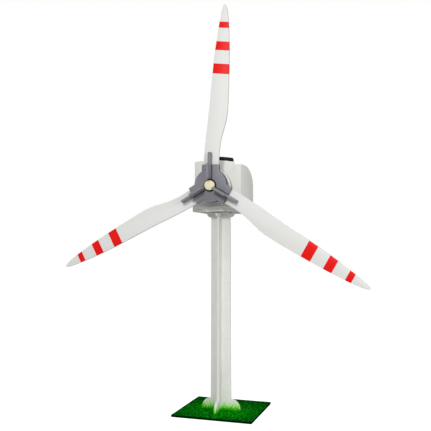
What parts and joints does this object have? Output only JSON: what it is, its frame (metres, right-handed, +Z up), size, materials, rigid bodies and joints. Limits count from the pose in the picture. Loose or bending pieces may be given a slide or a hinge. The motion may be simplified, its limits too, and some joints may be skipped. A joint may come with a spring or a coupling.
{
  "type": "model wind turbine",
  "caption": "Desk model of a horizontal-axis wind turbine: slotted board tower on a square base, box nacelle that turns on a pin, and a striped rotor on a wooden axle.",
  "frame": {"origin": "tower axis on the underside of the base plate", "axes": "+Z up the tower, the rotor faces -Y, +X to the right seen from the front"},
  "size_m": [0.3144, 0.0926, 0.4081],
  "materials": {
    "green_board": "matt print",
    "grey_board": "matt",
    "hub_board": "matt",
    "blade_board": "satin, red bands",
    "bent_card": "matt",
    "black_strip": "matt",
    "dowel_wood": "bare",
    "washer_plastic": "matt"
  },
  "bodies": {
    "stand": {"base_plate": "green_board", "tower_panel_wide": "grey_board", "tower_panel_cross": "grey_board", "tower_cap": "grey_board", "yaw_pin": "dowel_wood", "yaw_washer": "washer_plastic", "yaw_collar": "washer_plastic"},
    "nacelle": {"nacelle_floor": "grey_board", "nacelle_chin": "grey_board", "nacelle_front": "grey_board", "nacelle_bulkhead": "grey_board", "nacelle_side_left": "grey_board", "nacelle_side_right": "grey_board", "nacelle_cover": "bent_card", "crest_strip": "black_strip", "front_bush": "dowel_wood", "rear_bush": "dowel_wood"},
    "rotor": {"axle_dowel": "dowel_wood", "axle_collar": "washer_plastic", "hub_spacer": "hub_board", "hub_front_plate": "hub_board", "hub_middle_plate": "hub_board", "hub_rear_plate": "hub_board", "hub_fin_1": "hub_board", "hub_fin_2": "hub_board", "hub_fin_3": "hub_board", "blade_1": "blade_board", "blade_2": "blade_board", "blade_3": "blade_board"}
  },
  "joints": [
    {"name": "nacelle_yaw", "type": "hinge", "parent": "stand", "child": "nacelle", "pos_m": [0, 0, 0.203], "axis": [0, 0, 1], "continuous": true},
    {"name": "rotor_spin", "type": "hinge", "parent": "nacelle", "child": "rotor", "pos_m": [0, 0, 0.2275], "axis": [0, -1, 0], "continuous": true}
  ]
}
